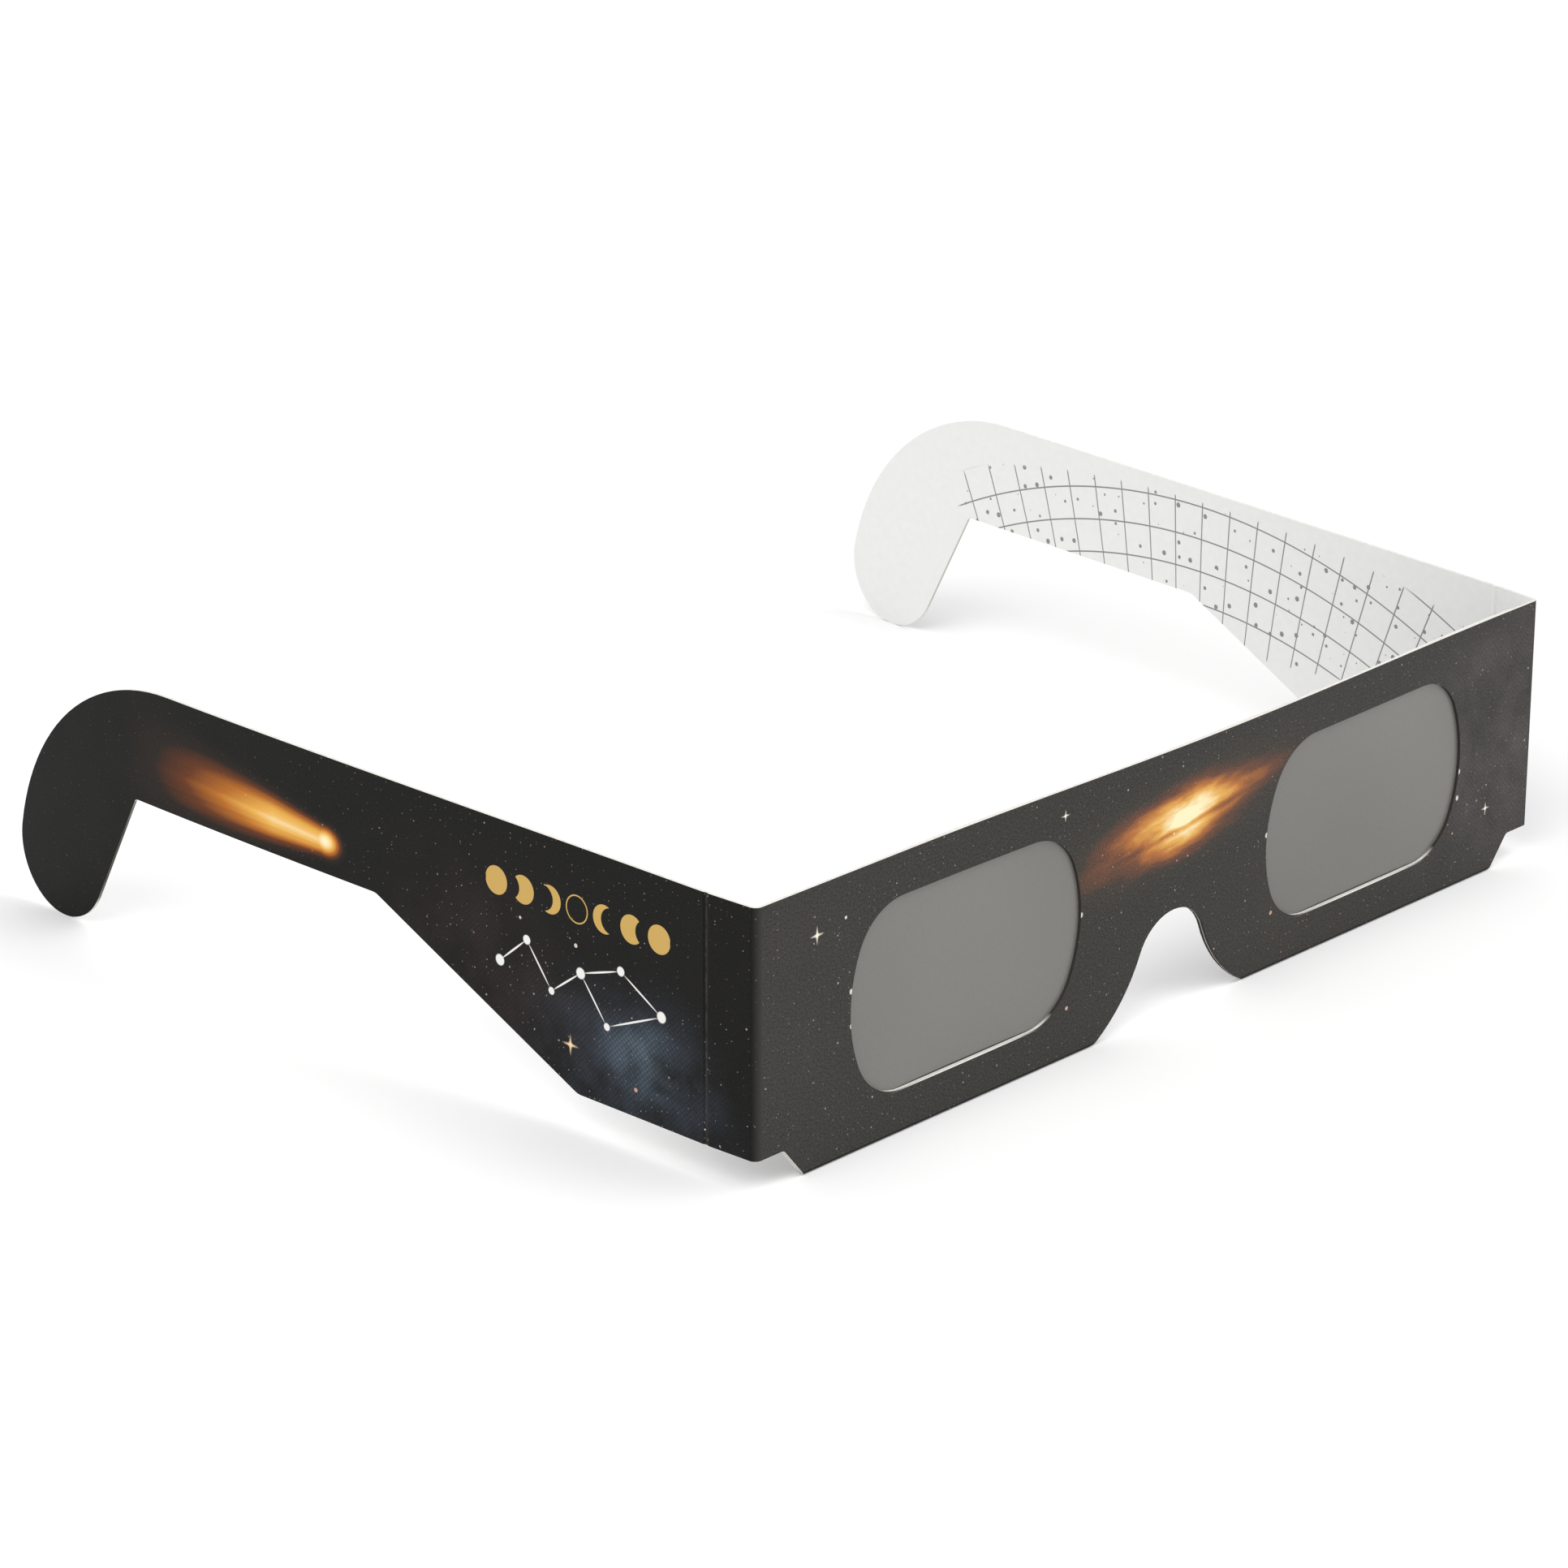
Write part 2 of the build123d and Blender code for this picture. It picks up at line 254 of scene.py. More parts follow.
def flat_sheet(tree, turn=math.radians(90), start=(0, 0), distance=0.0, side=1):
    """Millimetres along the board and up it. Start is a point in plan at that distance along the
    board, and turn is the way the board runs in plan, mirrored at the other side."""
    where = add(tree, "ShaderNodeTexCoord")
    run = (math.sin(turn) * side, math.cos(turn))
    origin = [start[i] - run[i] * distance * MM for i in (0, 1)]
    heading = side * (math.pi / 2 - turn)
    place = add(tree, "ShaderNodeMapping",
                {"Vector": where.outputs["Object"], "Location": (*origin, 0),
                 "Rotation": (math.pi / 2, 0, heading), "Scale": (side * MM, MM, 1)},
                vector_type="TEXTURE")
    outward = (math.cos(turn) * side, -math.sin(turn), 0)
    facing = add(tree, "ShaderNodeVectorMath", {0: where.outputs["Normal"], 1: outward},
                 operation="DOT_PRODUCT")
    return place.outputs[0], facing.outputs["Value"]


def empty_material(name):
    """A new material without nodes, and its node tree."""
    material = bpy.data.materials.new(name)
    material.use_nodes = True
    material.node_tree.nodes.clear()
    return material, material.node_tree


def cover(piece, material):
    """Gives a piece this one material."""
    piece.data.materials.clear()
    piece.data.materials.append(material)


# Paper fibres are 0.02 mm thick, and are drawn 0.3 mm so that the cut edges show some.
FIBRE_SIZE = 0.3
MOTTLE_SIZE = 1.2
WHITE_BOARD = ("#E7E7E5", "#EFEFEE")
CUT_BOARD = ("#C6C3BB", "#F0EEE9")
# Upright cut edges are darkened: partly by ink the blade drags over them, partly by painted shade.
DRAGGED_INK_AND_SHADE = "#56524C"
# How level an edge must be to stay pale, not darkened by dragged ink and painted shade, from 0 for
# any to 1 for quite level, and the step over which it changes.
PALE_EDGE_ABOVE = 0.47
PALE_EDGE_STEP = 0.12
VARNISH_PATCH_SIZE = 6
VARNISH_ROUGHNESS = (0.38, 0.50)
BARE_ROUGHNESS = 0.8


def white_side(tree, sheet):
    """The bare inner side: bleached board, very slightly mottled by its fibres."""
    mottle = add(tree, "ShaderNodeTexNoise",
                 {"Vector": sheet, "Scale": 1 / MOTTLE_SIZE, "Detail": 4.0})
    return add(tree, "ShaderNodeMix",
               {0: mottle.outputs[0], 6: linear(WHITE_BOARD[0]), 7: linear(WHITE_BOARD[1])},
               data_type="RGBA").outputs[2]


def finish_board(tree, sheet, facing, print_colour, inside_colour=None, dragged_and_shade=DRAGGED_INK_AND_SHADE,
                 pale_edge_above=PALE_EDGE_ABOVE):
    """Solid bleached board with satin varnished print on the side that faces out, bare elsewhere.
    Facing runs from 1 on the printed side to -1 inside, and is near 0 on the cut edges. Upright
    cut edges are darkened, partly by ink the blade drags over them and partly by painted shade, and
    level ones stay pale."""
    fibre = add(tree, "ShaderNodeTexNoise",
                {"Vector": sheet, "Scale": 1 / FIBRE_SIZE, "Detail": 3.0, "Roughness": 0.6})
    cut = add(tree, "ShaderNodeTexCoord")
    axes = add(tree, "ShaderNodeSeparateXYZ", {0: cut.outputs["Normal"]})
    level = add(tree, "ShaderNodeMath", {0: axes.outputs[2]}, operation="ABSOLUTE")
    above = add(tree, "ShaderNodeMath", {0: level.outputs[0], 1: pale_edge_above}, operation="SUBTRACT")
    pale_edge_share = add(tree, "ShaderNodeMapRange",
                {"Value": above.outputs[0], "From Min": 0.0, "From Max": PALE_EDGE_STEP})
    pale = add(tree, "ShaderNodeMix",
               {0: fibre.outputs[0], 6: linear(CUT_BOARD[0]), 7: linear(CUT_BOARD[1])},
               data_type="RGBA")
    edge = add(tree, "ShaderNodeMix", {0: pale_edge_share.outputs[0], 6: linear(dragged_and_shade), 7: pale.outputs[2]},
               data_type="RGBA")
    if inside_colour is None:
        inside_colour = white_side(tree, sheet)
    inner = add(tree, "ShaderNodeMath", {0: facing, 1: -0.5}, operation="LESS_THAN")
    bare = add(tree, "ShaderNodeMix", {0: inner.outputs[0], 6: edge.outputs[2], 7: inside_colour},
               data_type="RGBA")
    printed = add(tree, "ShaderNodeMath", {0: facing, 1: 0.5}, operation="GREATER_THAN")
    colour = add(tree, "ShaderNodeMix",
                 {0: printed.outputs[0], 6: bare.outputs[2], 7: print_colour}, data_type="RGBA")
    varnish = add(tree, "ShaderNodeTexNoise",
                  {"Vector": sheet, "Scale": 1 / VARNISH_PATCH_SIZE, "Detail": 2.0})
    gloss = add(tree, "ShaderNodeMapRange",
                {"Value": varnish.outputs[0], "To Min": VARNISH_ROUGHNESS[0],
                 "To Max": VARNISH_ROUGHNESS[1]})
    roughness = add(tree, "ShaderNodeMix",
                    {0: printed.outputs[0], 2: BARE_ROUGHNESS, 3: gloss.outputs[0]})
    grain = add(tree, "ShaderNodeBump",
                {"Strength": 0.12, "Distance": 0.05 * MM, "Height": fibre.outputs[0]})
    surface = add(tree, "ShaderNodeBsdfPrincipled",
                  {"Base Color": colour.outputs[2], "Roughness": roughness.outputs[0], "IOR": 1.45,
                   "Specular IOR Level": 0.13, "Normal": grain.outputs[0]})
    add(tree, "ShaderNodeOutputMaterial", {0: surface.outputs[0]})


GALAXY_CENTRE = (0.5, 24.2)
GALAXY_TURN = math.radians(7)
# The disc and the bulge as ovals, each with its reach in mm and its share of the heat.
GALAXY_LAYERS = (((33.0, 8.2), 0.56), ((19.0, 4.8), 0.24), ((9.0, 6.6), 0.26), ((2.8, 2.2), 0.2))
GALAXY_CLOUD = (11.0, 3.2)
CLOUD_HEAT = (0.72, 1.2)
DUST_LANE = ((1.0, 23.2), (20.0, 0.8))
DUST_DEPTH = 0.36


def galaxy(tree, sheet, colour):
    """A golden galaxy over the nose, seen nearly edge on: a long disc, a bulge and a dust lane."""
    heat = 0.0
    for reach, share in GALAXY_LAYERS:
        heat = add(tree, "ShaderNodeMath",
                   {0: spot(tree, sheet, GALAXY_CENTRE, reach, GALAXY_TURN), 1: share, 2: heat},
                   operation="MULTIPLY_ADD").outputs[0]
    drawn_out = add(tree, "ShaderNodeMapping",
                    {"Vector": sheet, "Rotation": (0, 0, GALAXY_TURN), "Scale": (*GALAXY_CLOUD, 1)},
                    vector_type="TEXTURE")
    clouds = add(tree, "ShaderNodeTexNoise",
                 {"Vector": drawn_out.outputs[0], "Scale": 1.0, "Detail": 5.0, "Roughness": 0.58},
                 noise_dimensions="2D")
    thick = add(tree, "ShaderNodeMapRange",
                {"Value": clouds.outputs[0], "From Min": 0.3, "From Max": 0.7,
                 "To Min": CLOUD_HEAT[0], "To Max": CLOUD_HEAT[1]})
    lane = add(tree, "ShaderNodeMath",
               {0: spot(tree, sheet, *DUST_LANE, GALAXY_TURN), 1: -DUST_DEPTH, 2: 1.0},
               operation="MULTIPLY_ADD")
    for part in (thick, lane):
        heat = add(tree, "ShaderNodeMath", {0: heat, 1: part.outputs[0]},
                   operation="MULTIPLY").outputs[0]
    return fire(tree, colour, heat)


# The part of the front and the flap where edges are darkened by dragged ink and painted shade, as
# an oval between the corner notches.
PANEL_MIDDLE = ((0, 16.8), (61, 50))
PANEL_PALE_EDGE_ABOVE = 0.85
# Darker here, where the dark line round the windows is partly dragged ink and partly painted shade.
PANEL_DRAGGED_INK_AND_SHADE = "#3A3733"


def pale_edge_by_place(tree, sheet):
    """How level an edge must be to stay pale, not darkened by dragged ink and painted shade: nearly
    flat round the windows and the nose, less so at the corner notches."""
    darkened_edge_place = spot(tree, sheet, *PANEL_MIDDLE, 0.0, 0.96)
    return add(tree, "ShaderNodeMath",
               {0: darkened_edge_place, 1: PANEL_PALE_EDGE_ABOVE - PALE_EDGE_ABOVE, 2: PALE_EDGE_ABOVE},
               operation="MULTIPLY_ADD").outputs[0]


WINDOW_MIDDLES = (-35.8, 35.8)
WINDOW_FOOT = 5.22
WINDOW_NICKS = ((-54.9, 19.4), (-54.8, 15.3), (-16.6, 17.2), (54.9, 15.0), (54.8, 11.6),
                (16.6, 17.6))
NICK_REACH = (0.32, 0.42)
CRUSHED_REACH = (13.5, 0.10)
TORN_BOARD = "#D8D5CE"
# The front's ground inks are lighter than the temples': a painted sheen for the extra light its
# face catches.
FRONT_INKS_WITH_SHEEN = ("#2E2D2A", "#403F3C")
FRONT_SPARKLES = (((-60.4, 27.6), 1.3), ((60.8, 8.6), 1.0), ((-20.0, 30.2), 0.9))
FRONT_HAZES = (
    ((62, 18), (27, 25), "#413A3D"),
    ((-62, 18), (14, 22), "#1B1614"),
    ((20, 6), (22, 12), "#1A120D"),
)
# Bleached board, printed and varnished: dark ink with a low satin sheen outside, matt white inside.
printed_front, tree = empty_material("printed_board_front")
sheet, facing = flat_sheet(tree)
ink = night_sky(tree, sheet, FRONT_HAZES, FRONT_INKS_WITH_SHEEN)
ink = galaxy(tree, sheet, ink)
for place, size in FRONT_SPARKLES:
    ink = sparkle(tree, sheet, ink, place, size)
# The blade's nicks tear off with a speck of bare board, and it crushes the edge below each window.
for place in WINDOW_NICKS:
    nick = spot(tree, sheet, place, NICK_REACH, 0.0, 0.5)
    ink = add(tree, "ShaderNodeMix", {0: nick, 6: ink, 7: linear(TORN_BOARD)},
              data_type="RGBA").outputs[2]
for middle in WINDOW_MIDDLES:
    rim = spot(tree, sheet, (middle, WINDOW_FOOT), CRUSHED_REACH, 0.0, 0.6)
    ink = add(tree, "ShaderNodeMix", {0: rim, 6: ink, 7: linear(CUT_BOARD[1])},
              data_type="RGBA").outputs[2]
finish_board(tree, sheet, facing, ink, None, PANEL_DRAGGED_INK_AND_SHADE, pale_edge_by_place(tree, sheet))
cover(front_board, printed_front)

# Back flap
# The flap is the same sheet, folded up behind the front and glued to it, with windows a hair
# larger. Its printed side shows at the back. Along the top it springs open a little from the front.
SPRING_GAP = 0.22 * MM
SPRING_WAVE = 46 * MM
SPRING_FROM_SHARE = 0.55
FLAP_INKS = ("#1A1917", "#282623")
FLAP_HAZES = (((-30, 18), (40, 24), "#1A1512"), ((46, 12), (34, 22), "#12161F"))


def spring(x, z):
    """How far the flap's top edge stands off the front, in two shallow waves."""
    height = (z - FOLD_TOP_Z) / (BOARD_TOP_Z - FOLD_TOP_Z)
    up = max(height - SPRING_FROM_SHARE, 0) / (1 - SPRING_FROM_SHARE)
    return SPRING_GAP * up ** 2 * (0.5 + 0.5 * math.sin(x / SPRING_WAVE * math.tau))


back_flap = bowed_copy("back_panel", "back_flap", spring)
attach(back_flap, "front")
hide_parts("back_panel")
# The same printed and varnished board, a shade darker than the front and with fainter hazes.
printed_flap, tree = empty_material("printed_board_flap")
sheet, facing = flat_sheet(tree)
outer = add(tree, "ShaderNodeMath", {0: facing, 1: -1.0}, operation="MULTIPLY")
ink = night_sky(tree, sheet, FLAP_HAZES, FLAP_INKS)
finish_board(tree, sheet, outer.outputs[0], ink, None, PANEL_DRAGGED_INK_AND_SHADE,
             pale_edge_by_place(tree, sheet))
cover(back_flap, printed_flap)

# Bottom folds
# Where the flap turns up, the sheet is bent double over the glue, once on each side of the nose.
# The bend shows its printed side, and its cut ends are darkened, partly by dragged ink and partly
# by painted shade.
# It has the ground and the satin varnish of the rest, but no haze.
printed_fold, tree = empty_material("printed_board_fold")
sheet, _ = flat_sheet(tree)
where = add(tree, "ShaderNodeTexCoord")
ends = add(tree, "ShaderNodeSeparateXYZ", {0: where.outputs["Normal"]})
along = add(tree, "ShaderNodeMath", {0: ends.outputs[0]}, operation="ABSOLUTE")
outer = add(tree, "ShaderNodeMath", {0: 1.0, 1: along.outputs[0]}, operation="SUBTRACT")
finish_board(tree, sheet, outer.outputs[0], night_sky(tree, sheet, ()))
for name in ("bottom_fold_left", "bottom_fold_right"):
    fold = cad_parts[name]
    cover(fold, printed_fold)

# Glue
# A thin coat of white paper glue fills the gap between flap and front, round both films. Only its
# edge could be seen, a millimetre inside the board's own. It dries dull and yellowish, with faint
# streaks.
GLUE_STREAK_SIZE = 2.5
GLUE_TONES = ("#DAD6C8", "#EDEADF")
glue_coat = bowed_copy("panel_glue", "glue_coat")
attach(glue_coat, "front")
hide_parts("panel_glue")
dried_glue, tree = empty_material("dried_paper_glue")
sheet, _ = flat_sheet(tree)
streaks = add(tree, "ShaderNodeTexNoise",
              {"Vector": sheet, "Scale": 1 / GLUE_STREAK_SIZE, "Detail": 3.0})
tone = add(tree, "ShaderNodeMix",
           {0: streaks.outputs[0], 6: linear(GLUE_TONES[0]), 7: linear(GLUE_TONES[1])},
           data_type="RGBA")
surface = add(tree, "ShaderNodeBsdfPrincipled",
              {"Base Color": tone.outputs[2], "Roughness": 0.5, "IOR": 1.46})
add(tree, "ShaderNodeOutputMaterial", {0: surface.outputs[0]})
cover(glue_coat, dried_glue)

# Filter films
# Each window is closed by a rectangle of very dark polymer film, trapped between flap and front.
# Its face is satin and looks mid grey, because it scatters the room's light and lets none through.
# It stands a little off the board's edge below the window, where a line of painted shade marks the
# gap.
FILM_GAP_HEIGHT = 5.38
FILM_GAP_REACH = (15.5, 0.15)
FILM_GAP_SHADE = "#242320"
# The film's haze is finer than 0.1 mm, drawn 0.5 mm across so that a little of it shows.
FILM_GRAIN_SIZE = 0.5
FILM_CLOUD_SIZE = 40
FILM_TONES = ("#6D6C68", "#777570")
satin_film, tree = empty_material("black_polymer_film")
sheet, _ = flat_sheet(tree)
grain = add(tree, "ShaderNodeTexNoise",
            {"Vector": sheet, "Scale": 1 / FILM_GRAIN_SIZE, "Detail": 3.0, "Roughness": 0.7})
broad = add(tree, "ShaderNodeTexNoise",
            {"Vector": sheet, "Scale": 1 / FILM_CLOUD_SIZE, "Detail": 1.0})
spread = add(tree, "ShaderNodeMapRange",
             {"Value": broad.outputs[0], "From Min": 0.35, "From Max": 0.65})
tone = add(tree, "ShaderNodeMix",
           {0: spread.outputs[0], 6: linear(FILM_TONES[0]), 7: linear(FILM_TONES[1])},
           data_type="RGBA")
fine = add(tree, "ShaderNodeMapRange", {"Value": grain.outputs[0], "To Min": 0.9, "To Max": 1.1})
tone = add(tree, "ShaderNodeVectorMath", {0: tone.outputs[2], "Scale": fine.outputs[0]},
           operation="SCALE").outputs[0]
# A painted shadow line on each film, just above the board's edge below its window.
for middle in WINDOW_MIDDLES:
    gap = spot(tree, sheet, (middle, FILM_GAP_HEIGHT), FILM_GAP_REACH, 0.0, 0.5)
    tone = add(tree, "ShaderNodeMix", {0: gap, 6: tone, 7: linear(FILM_GAP_SHADE)},
               data_type="RGBA").outputs[2]
relief = add(tree, "ShaderNodeBump",
             {"Strength": 0.08, "Distance": 0.02 * MM, "Height": grain.outputs[0]})
surface = add(tree, "ShaderNodeBsdfPrincipled",
              {"Base Color": tone, "Roughness": 0.32, "IOR": 1.5, "Normal": relief.outputs[0]})
add(tree, "ShaderNodeOutputMaterial", {0: surface.outputs[0]})
for side in ("left", "right"):
    film = bowed_copy("filter_film_" + side, side + "_filter_sheet")
    cover(film, satin_film)
    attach(film, "front")
    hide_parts("filter_film_" + side)

# Corner folds
# The board turns back at each corner in a tight rounded bend, where the temple folds. The bend is
# spun from the board's section about the fold's axis, and its ink is rubbed along the crown.
CORNER_INNER_RADIUS = 0.55 * MM
CORNER_OUTER_RADIUS = 0.95 * MM
CORNER_STEPS = 16
# How far each temple stands out from straight back at rest.
SPLAY = {"left": math.radians(5.6), "right": math.radians(-0.8)}
SCORE_BEND_SHARE = 0.03
# The front's lighter ground where it meets the bend: the same painted sheen.
FRONT_TONE_WITH_SHEEN = "#373633"
# White board shows along the crown in rubs of about 0.5 mm.
RUB_SIZE = 0.5
RUBBED_REACH = (0.5, 26)
RUBBED_HEIGHT = 12
RUBBED_BOARD = "#A29E96"
# The haze round each corner, for the strip and the temple too: places, reaches and colours.
HAZE_AT_ROOT = (
    ((19, 9), (22, 14), "#343B47"),
    ((17, 11), (9, 7), "#3E4B53"),
    ((44, 14), (26, 20), "#211816"),
)
# At rest the corner takes nearly all of the turn, and the score line's small bend the rest.
corner_bend = {side: (math.pi / 2 - splay) / (1 + SCORE_BEND_SHARE)
               for side, splay in SPLAY.items()}
crease_length = {side: CORNER_OUTER_RADIUS * bend / MM for side, bend in corner_bend.items()}


def corner_ends(side, sign):
    """How far out one bend starts on the front, and the place in plan where it meets the strip."""
    low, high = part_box(side + "_corner_crease")
    fold_x = low.x if sign > 0 else high.x
    end = Vector((fold_x + sign * CORNER_OUTER_RADIUS * math.sin(corner_bend[side]),
                  CORNER_OUTER_RADIUS * (1 - math.cos(corner_bend[side])), 0))
    return fold_x, end


def corner_fold(side, sign, fold_x):
    """The bend between the front and one temple, a part of a ring about the fold's axis."""
    low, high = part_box(side + "_corner_crease")
    bpy.ops.object.select_all(action="DESELECT")
    bpy.ops.mesh.primitive_plane_add(size=1, location=(fold_x, 0, (low.z + high.z) / 2),
                                     rotation=(0, math.pi / 2, 0))
    piece = bpy.context.object
    piece.name = side + "_corner_fold_board"
    piece.data.name = piece.name
    piece.scale = (high.z - low.z, CORNER_OUTER_RADIUS - CORNER_INNER_RADIUS, 1)
    piece.location.y = (CORNER_OUTER_RADIUS - CORNER_INNER_RADIUS) / 2
    bpy.ops.object.transform_apply(location=True, rotation=True, scale=True)
    edit_only(piece)
    bpy.ops.mesh.spin(steps=CORNER_STEPS, angle=corner_bend[side], axis=(0, 0, -sign),
                      center=(fold_x, CORNER_OUTER_RADIUS, 0))
    bpy.ops.mesh.select_all(action="SELECT")
    bpy.ops.mesh.remove_doubles(threshold=MERGE_DISTANCE)
    bpy.ops.mesh.normals_make_consistent(inside=False)
    bpy.ops.object.mode_set(mode="OBJECT")
    bpy.ops.object.shade_smooth_by_angle(angle=CREASE_ANGLE)
    return piece


def lay_out(piece, fold_x):
    """Gives the mesh its place on the flat sheet, and each face its side: 1 printed, -1 inside."""
    mesh = piece.data
    place = mesh.uv_layers.new(name="sheet")
    side = mesh.attributes.new("printed_side", "FLOAT", "FACE")
    for face in mesh.polygons:
        radial = Vector((face.center.x - fold_x, face.center.y - CORNER_OUTER_RADIUS, 0))
        side.data[face.index].value = radial.normalized().dot(face.normal)
        for loop in face.loop_indices:
            point = mesh.vertices[mesh.loops[loop].vertex_index].co
            turned = math.atan2(abs(point.x - fold_x), CORNER_OUTER_RADIUS - point.y)
            place.data[loop].uv = (turned * CORNER_OUTER_RADIUS / MM, point.z / MM)


for side, sign in (("left", 1), ("right", -1)):
    fold_x, end = corner_ends(side, sign)
    fold = corner_fold(side, sign, fold_x)
    lay_out(fold, fold_x)
    printed_corner, tree = empty_material("printed_board_corner_" + side)
    place = add(tree, "ShaderNodeUVMap", uv_map="sheet")
    facing = add(tree, "ShaderNodeAttribute", attribute_name="printed_side")
    sheet = place.outputs[0]
    ink = night_sky(tree, sheet, HAZE_AT_ROOT)
    # The front's ground is lighter than the temples' as painted sheen, and it changes over round
    # the bend.
    axes = add(tree, "ShaderNodeSeparateXYZ", {0: sheet})
    change = add(tree, "ShaderNodeMapRange",
                 {"Value": axes.outputs[0], "From Max": crease_length[side], "To Min": 1.0,
                  "To Max": 0.0}, interpolation_type="SMOOTHSTEP")
    ink = add(tree, "ShaderNodeMix", {0: change.outputs[0], 6: ink, 7: linear(FRONT_TONE_WITH_SHEEN)},
              data_type="RGBA").outputs[2]
    rub = add(tree, "ShaderNodeTexNoise",
              {"Vector": sheet, "Scale": 1 / RUB_SIZE, "Detail": 4.0, "Roughness": 0.75},
              noise_dimensions="2D")
    worn = add(tree, "ShaderNodeMapRange",
               {"Value": rub.outputs[0], "From Min": 0.68, "From Max": 0.8})
    crown = spot(tree, sheet, (crease_length[side] / 2, RUBBED_HEIGHT), RUBBED_REACH)
    share = add(tree, "ShaderNodeMath", {0: worn.outputs[0], 1: crown}, operation="MULTIPLY")
    ink = add(tree, "ShaderNodeMix", {0: share.outputs[0], 6: ink, 7: linear(RUBBED_BOARD)},
              data_type="RGBA").outputs[2]
    finish_board(tree, sheet, facing.outputs["Fac"], ink)
    cover(fold, printed_corner)
    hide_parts(side + "_corner_crease")
    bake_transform(fold)

# Temples
# Each temple is the sheet's long end: a short strip, a scored line 7 mm behind the corner, then the
# deep root, slim neck and ear hook. Outside it carries the print, inside the board is white. The
# left one's cut edges are pale; the right one's upright edges are darkened, partly by ink the blade
# dragged over them and partly by painted shade.
# Where each score line stands in plan, and how far it is from the bend along the strip, in mm.
SCORE_PIVOT = {"left": (70.669, 7.033), "right": (-70.001, 7.173)}
SCORE_DISTANCE = 7.2 - CORNER_OUTER_RADIUS / MM
SCORE_REACH = (0.2, 60)
SCORE_HEIGHT = 18
SCORE_CRACK_AND_HIGHLIGHT_SIZE = 1.5
CRACKED_INK_AND_HIGHLIGHT = "#4B4844"
TEMPLE_LENGTH = 117.0 * MM
# How far each temple leans in, in mm: by the square and by the cube of the share of its length.
WAVE = {"left": (0.3, 0.0), "right": (-4.2, 5.2)}
TEMPLE_EDGE = {"left": "#CBC8C0", "right": DRAGGED_INK_AND_SHADE}
# The stars print fully up to the first of these places along the board, and faintly past the
# second.
STARS_THIN = (45.0, 85.0)
FAINT_STARS = 0.2
TEMPLE_SPARKLE = ((28.5, 9.6), 1.5, "#FFD9B0")
GOLD = "#C9A55C"
WHITE_INK = "#EDECE8"
CHART_GREY = "#8E8E8E"
PHASES_FROM = 12.6
PHASE_PITCH = 4.2
PHASE_COUNT = 7
PHASE_RADIUS = 1.7
PHASE_HEIGHT = 26.0
PHASE_STEP = PHASE_RADIUS * 0.62
PHASE_COVER = PHASE_RADIUS * 0.9
STAR_FIGURE = ((39.5, 16.6), (35.2, 20.2), (31.4, 15.2), (26.8, 18.6), (20.6, 20.6), (22.8, 13.4),
               (14.4, 17.0))
FIGURE_STAR_RADII = (0.75, 0.63, 0.51)
FIGURE_LINE_HALF_WIDTH = 0.14
FIGURE_LINES = ((0, 1), (1, 2), (2, 3), (3, 4), (3, 5), (4, 6), (5, 6))
COMET_HEAD = (68.0, 23.0)
COMET_HEAD_REACH = (4.2, 3.0)
COMET_TURN = math.radians(3)
COMET_LENGTH = 36.0
COMET_SPREAD = 7.0
COMET_NECK = 3.0
# The chart's arcs are 4.4 mm apart round a pole below the temple, and its bearings 2.8 degrees. Its
# points are 2.4 mm apart, of up to 0.36 mm radius, and 0.7 of them are there.
CHART_POLE = (58, -70)
CHART_BLOCK = ((56, 22.5), (50, 9.5))
CHART_ARC_SPACING = 4.4
CHART_ARC_WIDTH = 0.2
CHART_BEARING_STEP = math.radians(2.8)
CHART_BEARING_WIDTH = 0.002
CHART_POINTS = (2.4, 0.36, 0.7)


def waved_temple(side, sign, turn, start):
    """A copy of one temple, cut finely and waved a little along its length, as card takes a set."""
    piece = fine_copy(side + "_temple", side + "_temple_board", (1,))
    run = Vector((math.sin(turn) * sign, math.cos(turn), 0))
    inward = Vector((-math.cos(turn) * sign, math.sin(turn), 0))
    for corner in piece.data.vertices:
        along = max((corner.co - start).dot(run), 0) / TEMPLE_LENGTH
        corner.co += inward * along ** 2 * (WAVE[side][0] + WAVE[side][1] * along) * MM
    bpy.ops.object.shade_smooth_by_angle(angle=CREASE_ANGLE)
    return piece


